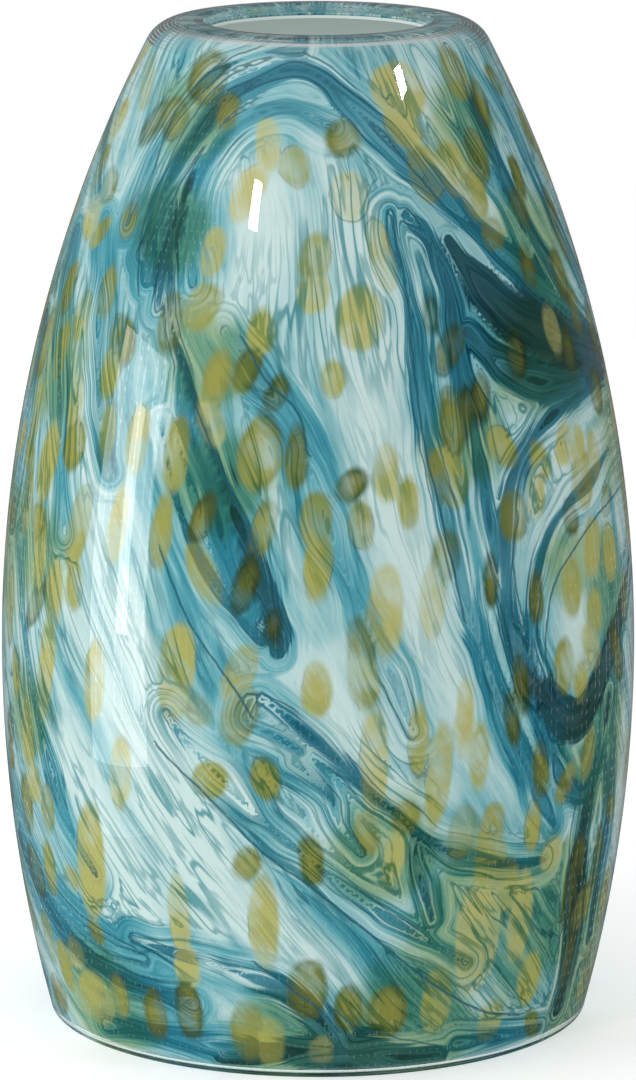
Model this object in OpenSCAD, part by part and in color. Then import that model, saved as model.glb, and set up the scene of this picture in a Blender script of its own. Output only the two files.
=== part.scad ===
// Hand blown cased art glass vase.
// A free-blown bottle form made of fused layers: an opal lining, a thin colour
// gather that holds the decoration, and a thick clear casing. The decoration is
// glass of its own: teal trails, white wisps, dark threads, and amber and olive
// chips, each let into the colour gather. The frame stands on the ground base:
// +Z is up, and the origin is the middle of the base on the table. Decoration
// is placed by azimuth, counted in degrees from the front (-Y) toward +X.

/* [Form] */
// Overall height, table to lip
height = 305; // [254:1:366]
// Widest diameter, outside
max_d = 193; // [160:1:232]
// Height of the widest place, as a share of the overall height
widest_share = 0.367; // [0.3:0.001:0.45]
// Diameter at the foot, as a share of the widest
base_share = 0.85; // [0.7:0.01:0.92]
// Diameter where the shoulder would meet the top, as a share of the widest
shoulder_share = 0.5; // [0.48:0.01:0.6]

/* [Lip] */
// Diameter of the cut mouth
mouth_d = 68; // [56:1:70]
// Radius of the fire-polished lip
lip_r = 11; // [9:0.5:13]

/* [Glass layers] */
// Thickness of the clear casing
casing_t = 2.5; // [1.5:0.1:3]
// Thickness of the colour gather
colour_t = 0.8; // [0.6:0.1:1.2]
// Thickness of the opal lining
lining_t = 0.9; // [0.7:0.1:1.5]

/* [Base] */
// Thickness of the clear glass under the colour
base_casing_t = 1.2; // [1:0.1:4]
// Thickness of the colour gather under the lining
base_colour_t = 1; // [0.8:0.1:2]
// Thickness of the opal glass at the floor
base_lining_t = 5; // [3:0.5:8]
// Radius of the heel, outside
heel_r = 2; // [1:0.25:4]
// Radius of the colour gather at the heel
gather_heel_r = 3; // [2.5:0.5:8]
// Radius of the inside corner at the floor
floor_r = 12; // [9:1:16]
// Diameter of the polished pontil hollow
pontil_d = 34; // [20:1:44]
// Depth of the polished pontil hollow
pontil_depth = 0.7; // [0.3:0.1:0.8]

/* [Decoration] */
// Width of the chips, as a share of their drawn width
chip_scale = 1; // [0.7:0.05:1.2]
// Width of the trails and wisps, as a share of their drawn width
trail_scale = 1; // [0.7:0.05:1.2]
// Width of the dark threads
thread_w = 1.2; // [0.8:0.1:2]

/* [Hidden] */
$fn = 180;
long_arc_fn = 1440;                      // sides for the strokes' long flat arcs

max_r = max_d / 2;
widest_z = height * widest_share;
colour_depth = casing_t + colour_t;      // from the outside to the lining
wall_t = colour_depth + lining_t;        // the whole wall
lining_floor = base_casing_t + base_colour_t;
cavity_floor = lining_floor + base_lining_t;
cut_past = 10;                           // how far a cut runs past the glass

// Radius of the arc that leaves the widest place upright and has come in by
// "inset" after "rise".
function arc_radius(inset, rise) = (inset * inset + rise * rise) / (2 * inset);
upper_r = arc_radius(max_r * (1 - shoulder_share), height - widest_z);
lower_r = arc_radius(max_r * (1 - base_share), widest_z);
upper_x = max_r - upper_r;
lower_x = max_r - lower_r;
// Centre of the lip's arc, which touches both the shoulder and the flat top
lip_z = height - lip_r;
lip_x = upper_x + sqrt(pow(upper_r - lip_r, 2) - pow(lip_z - widest_z, 2));

// Half of the section that lies "depth" inside the outside, standing on
// "floor_z", with its bottom corner rounded to "corner_r".
module section(depth, floor_z, corner_r) {
    corner_z = floor_z + corner_r;
    corner_x = lower_x + sqrt(pow(lower_r - depth - corner_r, 2) - pow(corner_z - widest_z, 2));
    reach = max_r + cut_past;
    // Slopes of the lines on which the arcs hand over to the lip and the corner
    lip_slope = (lip_z - widest_z) / (lip_x - upper_x);
    corner_slope = (corner_z - widest_z) / (corner_x - lower_x);
    // Belly and shoulder
    intersection() {
        translate([upper_x, widest_z]) circle(r = upper_r - depth);
        polygon([[0, widest_z], [reach, widest_z],
                 [reach, widest_z + lip_slope * (reach - upper_x)],
                 [0, widest_z - lip_slope * upper_x]]);
    }
    // Belly down to the heel
    intersection() {
        translate([lower_x, widest_z]) circle(r = lower_r - depth);
        polygon([[0, widest_z], [reach, widest_z],
                 [reach, widest_z + corner_slope * (reach - lower_x)],
                 [0, widest_z - corner_slope * lower_x]]);
    }
    // Lip and the flat top
    translate([lip_x, lip_z]) circle(r = lip_r - depth);
    translate([0, widest_z]) square([lip_x, height - depth - widest_z]);
    // Heel and the flat floor
    translate([corner_x, corner_z]) circle(r = corner_r);
    translate([0, floor_z]) square([corner_x, widest_z - floor_z]);
}

module turned(depth, floor_z, corner_r) {
    rotate_extrude() section(depth, floor_z, corner_r);
}
module outside() { turned(0, 0, heel_r); }
module gather_outside() { turned(casing_t, base_casing_t, gather_heel_r); }
module lining_outside() { turned(colour_depth, lining_floor, gather_heel_r - colour_t); }
module cavity() { turned(wall_t, cavity_floor, floor_r); }
module mouth() {
    translate([0, 0, widest_z]) cylinder(d = mouth_d, h = height);
}

// The colour gather, as one whole before the decoration is let into it
module gather() {
    difference() {
        gather_outside();
        lining_outside();
        mouth();
    }
}

// ---- Decoration ----
// Heights below are drawn on a vase of this overall height and stretch with it
drawn_h = 305;
function laid(z) = z * height / drawn_h;

// Radius of the outside at height z
function skin_r(z) = (z > widest_z ? upper_x + sqrt(pow(upper_r, 2) - pow(z - widest_z, 2))
                                   : lower_x + sqrt(pow(lower_r, 2) - pow(z - widest_z, 2)));

// Stands a flat shape, drawn as seen from outside, through the wall at an
// azimuth. It starts "reach_in" inside the skin, so that it stays clear of the
// shapes on the other side.
reach_in = 9;
module facing(azimuth, skin) {
    rotate([0, 0, azimuth - 90])
        rotate([90, 0, 90])
            translate([0, 0, skin - reach_in])
                linear_extrude(height = max_r + cut_past - skin + reach_in) children();
}

// A chip: [azimuth, height, width, length, lean from upright in degrees]
module chips(list) {
    for (c = list)
        facing(c[0], skin_r(laid(c[1])))
            translate([0, laid(c[1])])
                rotate(-c[4])
                    chip_outline(c[2] * chip_scale, laid(c[3]));
}
module chip_outline(w, l) {
    translate([-w / 2, -(l - w) / 2]) square([w, l - w]);
    translate([0, (l - w) / 2]) circle(d = w);
    translate([0, -(l - w) / 2]) circle(d = w);
}

// A stroke is a crescent or a leaf between two points, as a gather stretches
// it: [azimuth, height, azimuth, height, bow, width]. The bow is how far the
// middle of the stroke lies to the left of the straight line from the first
// point to the second, and the width is the stroke's at its middle.
function flat_point(azimuth, z, facing_azimuth) =
    [skin_r(laid(z)) * sin(azimuth - facing_azimuth), laid(z)];
// Least distance, along the facing direction, of a stroke's ends from the axis
function lowest_skin(s) =
    min(skin_r(laid(s[1])), skin_r(laid(s[3]))) * cos((s[2] - s[0]) / 2);
module strokes(list, scale) {
    for (s = list) {
        a = (s[0] + s[2]) / 2;
        from = flat_point(s[0], s[1], a);
        to = flat_point(s[2], s[3], a);
        facing(a, lowest_skin(s))
            stroke_outline(from, to, s[4], s[5] * scale);
    }
}
least_bow = 0.1;
module stroke_outline(from, to, bow, width) {
    chord = norm(to - from);
    // bow of the hollow edge, kept off the straight line, which no arc can draw
    straight = bow - sign(bow) * width / 2;
    near = abs(straight) < least_bow ? least_bow : straight;
    far = bow + sign(bow) * width / 2;      // bow of the full edge
    translate((from + to) / 2)
        rotate(atan2(to[1] - from[1], to[0] - from[0]))
            if (near * far > 0)
                difference() {
                    bowed_circle(chord, far);
                    bowed_circle(chord, near);
                }
            else
                intersection() {
                    bowed_circle(chord, far);
                    bowed_circle(chord, near);
                }
}
// The circle that passes through both ends of the chord and bows out by "bow"
module bowed_circle(chord, bow, grow = 0) {
    r = arc_radius(abs(bow), chord / 2);
    translate([0, bow - sign(bow) * r]) circle(r = r + grow, $fn = long_arc_fn);
}

// A thread is an arc of even width: [azimuth, height, azimuth, height, bow]
module threads(list) {
    for (s = list) {
        a = (s[0] + s[2]) / 2;
        from = flat_point(s[0], s[1], a);
        to = flat_point(s[2], s[3], a);
        chord = norm(to - from);
        facing(a, lowest_skin(s))
            translate((from + to) / 2)
                rotate(atan2(to[1] - from[1], to[0] - from[0]))
                    intersection() {
                        difference() {
                            bowed_circle(chord, s[4], thread_w / 2);
                            bowed_circle(chord, s[4], -thread_w / 2);
                        }
                        mirror([0, s[4] < 0 ? 1 : 0])
                            translate([-chord, 0]) square([2 * chord, chord]);
                    }
    }
}

TRAILS = [
    // the big hook that leaves the left side, crosses the shoulder and falls right
    [-41, 236, -24, 289, 8, 9], [-28, 286, 26, 266, 10, 9], [19, 277, 63, 221, 3, 11],
    [56, 224, 94, 207, -2, 9],
    // the tongue that hangs inside the hook
    [-38, 261, -7, 132, -11, 18],
    // the curtain on the right
    [19, 257, 27, 188, 3, 15], [26, 196, 50, 68, -5, 8], [30, 241, 96, 202, -8, 24],
    // the loop on the right and the curl under it
    [82, 200, 35, 157, -10, 8], [35, 161, 54, 101, -9, 8], [52, 102, 77, 139, -5, 9],
    [70, 178, 42, 139, -9, 4], [47, 98, 66, 103, -14, 7], [62, 76, 59, 12, 3, 11],
    // diagonals across the belly
    [-12, 121, 19, 73, -2, 6], [16, 80, 49, 61, -3, 5], [12, 87, 22, 45, 3, 5],
    [-76, 242, -46, 157, -4, 5], [-72, 150, -41, 47, -6, 5],
    // waves above the foot
    [-78, 56, -24, 20, -8, 7], [-36, 42, 5, 13, 7, 8], [-12, 16, 30, 14, 3, 11],
    // the side and the back
    [98, 150, 116, 60, -5, 7], [102, 273, 114, 118, 13, 11], [146, 285, 223, 210, 6, 12],
    [219, 224, 213, 166, 5, 8], [136, 164, 210, 124, -30, 9], [108, 66, 162, 29, -5, 8],
    [150, 34, 216, 13, 8, 9], [230, 265, 262, 131, 8, 10], [222, 117, 272, 59, -6, 9],
    [242, 289, 290, 255, 6, 8], [154, 232, 176, 168, -5, 6]
];
WISPS = [
    [-2, 274, 16, 189, 4, 9], [15, 196, 27, 111, -1, 8], [-61, 234, -42, 156, 1, 5],
    [-28, 114, -14, 50, -3, 8], [66, 184, 56, 113, -7, 10], [74, 102, 76, 32, 1, 8],
    [134, 238, 144, 166, 4, 9], [192, 220, 172, 132, 1, 9], [240, 134, 232, 212, 5, 8],
    [250, 48, 292, 16, -2, 7]
];
THREADS = [
    [-30, 102, 44, 14, -5], [-48, 262, -38, 291, 4], [46, 284, 66, 232, 3],
    [-70, 60, -40, 37, -3], [-30, 160, -12, 114, -3], [134, 120, 182, 70, -8],
    [204, 160, 236, 112, 4], [160, 236, 176, 180, 6]
];
OLIVE = [
    [-38, 289, 5, 9, 30], [-52, 251, 5, 11, 10], [-12, 214, 5, 13, 20], [-21, 198, 7, 18, 20],
    [-15, 172, 7, 20, 25], [-28, 232, 5, 14, 15], [-58, 118, 5, 26, -20], [-28, 72, 5, 17, -25],
    [4, 74, 5, 16, -30], [-34, 14, 5, 9, 0], [34, 120, 4, 14, -20], [59, 56, 7, 18, 0],
    [47, 287, 5, 10, -40], [70, 220, 5, 16, 30], [13, 22, 9, 15, 0], [84, 160, 6, 20, 0],
    [96, 236, 6, 15, 20], [106, 96, 6, 22, -15], [116, 186, 6, 16, 10], [140, 258, 6, 14, -30],
    [152, 150, 6, 20, 15], [170, 232, 5, 14, 40], [196, 132, 6, 20, 0], [206, 74, 6, 18, 30],
    [226, 240, 6, 18, -20], [246, 176, 6, 22, -20], [252, 112, 6, 18, -30], [272, 214, 6, 18, 15]
];
AMBER = [
    [25, 287, 8, 13, -60], [-14, 275, 6, 12, 40], [-23, 262, 6, 14, 40], [-62, 246, 4, 10, 10],
    [9, 228, 7, 15, 15], [-2, 238, 5, 12, 30], [2, 207, 5, 12, 10], [-5, 186, 5, 17, 10],
    [2, 157, 5, 18, 5], [9, 172, 4, 13, 10], [12, 143, 5, 22, 5], [-63, 178, 7, 22, 10],
    [-52, 150, 6, 22, -15], [-38, 122, 8, 26, -15], [8, 118, 5, 18, -20], [20, 96, 4, 24, -15],
    [31, 92, 4, 18, -10], [33, 40, 9, 30, 0], [42, 43, 6, 26, 0], [-48, 58, 7, 30, -15],
    [-54, 16, 9, 15, 0], [-12, 14, 6, 12, 0], [39, 270, 6, 14, -40], [45, 176, 5, 16, 10],
    [61, 158, 5, 16, 0], [47, 143, 5, 14, -10], [60, 134, 5, 13, 0], [54, 114, 4, 9, 0],
    [88, 260, 6, 14, 30], [90, 120, 7, 20, -10], [88, 46, 7, 18, 0], [104, 212, 6, 16, 10],
    [112, 24, 7, 14, 20], [132, 92, 6, 18, -20], [136, 200, 5, 16, 10], [156, 206, 6, 18, 0],
    [162, 60, 7, 16, 40], [168, 164, 6, 20, 10], [186, 270, 7, 12, 60], [188, 12, 8, 12, 90],
    [190, 62, 6, 14, 30], [204, 196, 6, 18, -10], [216, 256, 6, 13, 50], [222, 52, 7, 16, 30],
    [236, 20, 8, 14, 60], [244, 250, 6, 15, -10], [268, 100, 6, 20, -15], [270, 244, 6, 14, 20],
    [274, 150, 6, 22, 10], [276, 44, 6, 16, 20]
];

module clear_casing() {
    // sphere whose cap, pontil_d across and pontil_depth deep, hollows the base
    pontil_r = (pow(pontil_d / 2, 2) + pow(pontil_depth, 2)) / (2 * pontil_depth);
    color([0.93, 0.98, 0.98, 0.25])
        difference() {
            outside();
            gather_outside();
            mouth();
            translate([0, 0, pontil_depth - pontil_r]) sphere(r = pontil_r);
        }
}

module aqua_ground() {
    color([0.66, 0.84, 0.88])
        difference() {
            gather();
            strokes(TRAILS, trail_scale);
            strokes(WISPS, trail_scale);
            threads(THREADS);
            chips(OLIVE);
            chips(AMBER);
        }
}

module teal_trails() {
    color([0.08, 0.42, 0.55])
        difference() {
            intersection() {
                gather();
                strokes(TRAILS, trail_scale);
            }
            strokes(WISPS, trail_scale);
            threads(THREADS);
            chips(OLIVE);
            chips(AMBER);
        }
}

module white_wisps() {
    color([0.9, 0.95, 0.94])
        difference() {
            intersection() {
                gather();
                strokes(WISPS, trail_scale);
            }
            threads(THREADS);
            chips(OLIVE);
            chips(AMBER);
        }
}

module dark_threads() {
    color([0.05, 0.16, 0.2])
        difference() {
            intersection() {
                gather();
                threads(THREADS);
            }
            chips(OLIVE);
            chips(AMBER);
        }
}

module olive_chips() {
    color([0.42, 0.46, 0.2])
        difference() {
            intersection() {
                gather();
                chips(OLIVE);
            }
            chips(AMBER);
        }
}

module amber_chips() {
    color([0.78, 0.62, 0.25])
        intersection() {
            gather();
            chips(AMBER);
        }
}

module opal_lining() {
    color([0.86, 0.9, 0.88])
        difference() {
            lining_outside();
            cavity();
            mouth();
        }
}

clear_casing();
aqua_ground();
teal_trails();
white_wisps();
dark_threads();
olive_chips();
amber_chips();
opal_lining();
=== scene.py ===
import math
import random

import bmesh
import bpy
import numpy as np
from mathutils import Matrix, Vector


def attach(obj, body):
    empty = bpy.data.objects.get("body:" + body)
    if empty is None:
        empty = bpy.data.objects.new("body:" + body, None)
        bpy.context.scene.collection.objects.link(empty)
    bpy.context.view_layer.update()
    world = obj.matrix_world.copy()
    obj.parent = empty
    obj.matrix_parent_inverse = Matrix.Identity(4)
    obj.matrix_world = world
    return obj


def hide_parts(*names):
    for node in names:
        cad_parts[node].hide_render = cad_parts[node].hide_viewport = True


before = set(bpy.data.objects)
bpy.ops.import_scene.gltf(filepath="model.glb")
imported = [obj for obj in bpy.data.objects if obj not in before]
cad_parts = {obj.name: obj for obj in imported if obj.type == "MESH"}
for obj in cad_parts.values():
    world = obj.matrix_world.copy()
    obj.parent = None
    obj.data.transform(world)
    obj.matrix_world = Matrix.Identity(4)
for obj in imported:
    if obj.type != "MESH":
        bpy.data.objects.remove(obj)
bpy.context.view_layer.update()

# ---- Clear casing ----
# The last and thickest gather: clear glass marvered smooth over the colour,
# with a fire-polished shoulder. The mouth is cut and left finely ground, and
# the pontil mark is polished out to a shallow hollow under the foot.
HEIGHT = 0.305
WIDEST_R = 0.0965
WIDEST_Z = HEIGHT * 0.367
FOOT_R = WIDEST_R * 0.85
SHOULDER_R = WIDEST_R * 0.5
MOUTH_R = 0.034
LIP_R = 0.011
CASING_T = 0.0025
BASE_CASING_T = 0.0012
HEEL_R = 0.002
GATHER_HEEL_R = 0.003
PONTIL_R = 0.017
PONTIL_DEPTH = 0.0007
COLUMNS = 400


def arc_radius(inset, rise):
    return (inset * inset + rise * rise) / (2 * inset)


UPPER_R = arc_radius(WIDEST_R - SHOULDER_R, HEIGHT - WIDEST_Z)
LOWER_R = arc_radius(WIDEST_R - FOOT_R, WIDEST_Z)
UPPER_X = WIDEST_R - UPPER_R
LOWER_X = WIDEST_R - LOWER_R
LIP_Z = HEIGHT - LIP_R
LIP_X = UPPER_X + math.sqrt((UPPER_R - LIP_R) ** 2 - (LIP_Z - WIDEST_Z) ** 2)


def arc_points(cx, cz, radius, start, end, count):
    angles = [start + (end - start) * i / count for i in range(count + 1)]
    return [(cx + radius * math.cos(a), cz + radius * math.sin(a)) for a in angles]


def skin_profile(depth, floor_z, corner_r, steps):
    """Heel, belly, shoulder and lip of the skin that lies depth inside the outside."""
    heel_n, lower_n, upper_n, lip_n = steps
    corner_z = floor_z + corner_r
    corner_x = LOWER_X + math.sqrt((LOWER_R - depth - corner_r) ** 2 - (corner_z - WIDEST_Z) ** 2)
    heel_angle = math.atan2(corner_z - WIDEST_Z, corner_x - LOWER_X)
    lip_angle = math.atan2(LIP_Z - WIDEST_Z, LIP_X - UPPER_X)
    line = arc_points(corner_x, corner_z, corner_r, -math.pi / 2, heel_angle, heel_n)
    line += arc_points(LOWER_X, WIDEST_Z, LOWER_R - depth, heel_angle, 0, lower_n)[1:]
    line += arc_points(UPPER_X, WIDEST_Z, UPPER_R - depth, 0, lip_angle, upper_n)[1:]
    line += arc_points(LIP_X, LIP_Z, LIP_R - depth, lip_angle, math.pi / 2, lip_n)[1:]
    return line


def turn_on_axis(name, profile, columns):
    """Spins a line of (radius, height) points into a closed smooth skin."""
    bm = bmesh.new()
    verts = [bm.verts.new((r, 0, z)) for r, z in profile]
    edges = [bm.edges.new(pair) for pair in zip(verts, verts[1:])]
    bmesh.ops.spin(bm, geom=verts + edges, axis=(0, 0, 1), cent=(0, 0, 0),
                   angle=2 * math.pi, steps=columns, use_merge=True)
    bmesh.ops.remove_doubles(bm, verts=bm.verts, dist=1e-7)
    bmesh.ops.recalc_face_normals(bm, faces=bm.faces)
    mesh = bpy.data.meshes.new(name)
    bm.to_mesh(mesh)
    bm.free()
    mesh.polygons.foreach_set("use_smooth", [True] * len(mesh.polygons))
    piece = bpy.data.objects.new(name, mesh)
    bpy.context.scene.collection.objects.link(piece)
    return piece


def between(a, b, count):
    """Points that divide the straight run from a to b, without its ends."""
    return [(a[0] + (b[0] - a[0]) * i / count, a[1] + (b[1] - a[1]) * i / count)
            for i in range(1, count)]


outer = skin_profile(0, 0, HEEL_R, (6, 30, 60, 14))
inner = skin_profile(CASING_T, BASE_CASING_T, GATHER_HEEL_R, (6, 30, 60, 14))
pontil = [(PONTIL_R * i / 8, PONTIL_DEPTH * (1 - (i / 8) ** 2)) for i in range(9)]
cut_top = (MOUTH_R + 0.0003, HEIGHT)
cut_low = (MOUTH_R, HEIGHT - 0.0005)
profile = pontil + [(0.03, 0), (0.05, 0)] + outer
profile += [((LIP_X + MOUTH_R) / 2, HEIGHT), cut_top, cut_low]
profile += between(cut_low, (MOUTH_R, HEIGHT - CASING_T), 5)
profile += [(MOUTH_R, HEIGHT - CASING_T), ((LIP_X + MOUTH_R) / 2, HEIGHT - CASING_T)]
profile += inner[::-1] + [(0.05, BASE_CASING_T), (0.02, BASE_CASING_T), (0, BASE_CASING_T)]
casing = turn_on_axis("casing_glass", profile, 240)


def new_node(tree, kind, inputs=None, **settings):
    """Adds a shader node; inputs are values or other nodes' outputs, by name or number."""
    node = tree.nodes.new(kind)
    for key, value in settings.items():
        setattr(node, key, value)
    for key, value in (inputs or {}).items():
        if isinstance(value, bpy.types.NodeSocket):
            tree.links.new(value, node.inputs[key])
        else:
            node.inputs[key].default_value = value
    return node


def new_material(name):
    material = bpy.data.materials.new(name)
    material.use_nodes = True
    material.node_tree.nodes.clear()
    return material, material.node_tree


def math_node(tree, operation, a, b=0.0, c=0.0, clamp=False):
    return new_node(tree, "ShaderNodeMath", {0: a, 1: b, 2: c},
                    operation=operation, use_clamp=clamp).outputs[0]


def step_node(tree, value, low, high, out_low=0.0, out_high=1.0):
    """Eases from out_low to out_high as the value goes from low to high."""
    node = new_node(tree, "ShaderNodeMapRange", {"Value": value},
                    interpolation_type="SMOOTHSTEP", clamp=True)
    node.inputs["From Min"].default_value = low
    node.inputs["From Max"].default_value = high
    node.inputs["To Min"].default_value = out_low
    node.inputs["To Max"].default_value = out_high
    return node.outputs["Result"]


def mix_colour(tree, factor, a, b, blend="MIX"):
    node = new_node(tree, "ShaderNodeMix", {0: factor, 6: a, 7: b},
                    data_type="RGBA", blend_type=blend)
    return node.outputs[2]


glass, tree = new_material("clear_casing_glass")
coords = new_node(tree, "ShaderNodeTexCoord")
waves = new_node(tree, "ShaderNodeTexNoise", {"Vector": coords.outputs["Object"], "Scale": 14.0,
                                              "Detail": 1.0, "Roughness": 0.4})
grind = new_node(tree, "ShaderNodeTexNoise", {"Vector": coords.outputs["Object"],
                                              "Scale": 900.0, "Detail": 2.0})
place = new_node(tree, "ShaderNodeSeparateXYZ", {0: coords.outputs["Object"]})
reach = new_node(tree, "ShaderNodeVectorMath",
                 {0: coords.outputs["Object"], 1: (1.0, 1.0, 0.0)}, operation="MULTIPLY")
radius = new_node(tree, "ShaderNodeVectorMath", {0: reach.outputs[0]},
                  operation="LENGTH").outputs["Value"]
at_cut = math_node(tree, "MULTIPLY", step_node(tree, radius, MOUTH_R + 0.0008, MOUTH_R + 0.0002),
                   step_node(tree, place.outputs["Z"], 0.29, 0.295))
rough = math_node(tree, "MULTIPLY_ADD", at_cut,
                  step_node(tree, grind.outputs["Fac"], 0.3, 0.7, 0.2, 0.5), 0.015)
wavy = new_node(tree, "ShaderNodeBump", {"Height": waves.outputs["Fac"], "Strength": 0.12,
                                         "Distance": 0.0012})
ground_cut = new_node(tree, "ShaderNodeBump",
                      {"Height": math_node(tree, "MULTIPLY", grind.outputs["Fac"], at_cut),
                       "Strength": 0.5, "Distance": 0.0004, "Normal": wavy.outputs[0]})
shader = new_node(tree, "ShaderNodeBsdfPrincipled",
                  {"Base Color": (0.97, 0.995, 0.99, 1), "Roughness": rough, "IOR": 1.5,
                   "Transmission Weight": 1.0, "Normal": ground_cut.outputs[0]})
clear = new_node(tree, "ShaderNodeBsdfTransparent", {"Color": (0.96, 0.98, 0.98, 1)})
path = new_node(tree, "ShaderNodeLightPath")
passing = math_node(tree, "MAXIMUM", path.outputs["Is Shadow Ray"], path.outputs["Is Diffuse Ray"])
mixed = new_node(tree, "ShaderNodeMixShader",
                 {0: passing, 1: shader.outputs[0], 2: clear.outputs[0]})
new_node(tree, "ShaderNodeOutputMaterial", {"Surface": mixed.outputs[0]})
casing.data.materials.append(glass)
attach(casing, "root")
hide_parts("clear_casing")

# ---- Colour gather ----
# The thin gather that holds the decoration: translucent aqua glass with teal
# trails drawn over it, milky wisps, near-black threads, and crushed amber and
# olive glass rolled in. It stretched and swirled as the form was blown.
COLOUR_T = 0.0008
BASE_COLOUR_T = 0.001

outer = skin_profile(CASING_T, BASE_CASING_T, GATHER_HEEL_R, (4, 70, 118, 10))
inner = skin_profile(CASING_T + COLOUR_T, BASE_CASING_T + BASE_COLOUR_T,
                     GATHER_HEEL_R - COLOUR_T, (3, 6, 12, 5))
profile = [(0, BASE_CASING_T), (0.02, BASE_CASING_T), (0.04, BASE_CASING_T), (0.06, BASE_CASING_T)]
profile += outer + [(MOUTH_R, HEIGHT - CASING_T), (MOUTH_R, HEIGHT - CASING_T - COLOUR_T)]
profile += inner[::-1] + [(0, BASE_CASING_T + BASE_COLOUR_T)]
gather = turn_on_axis("colour_gather", profile, COLUMNS)

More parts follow.
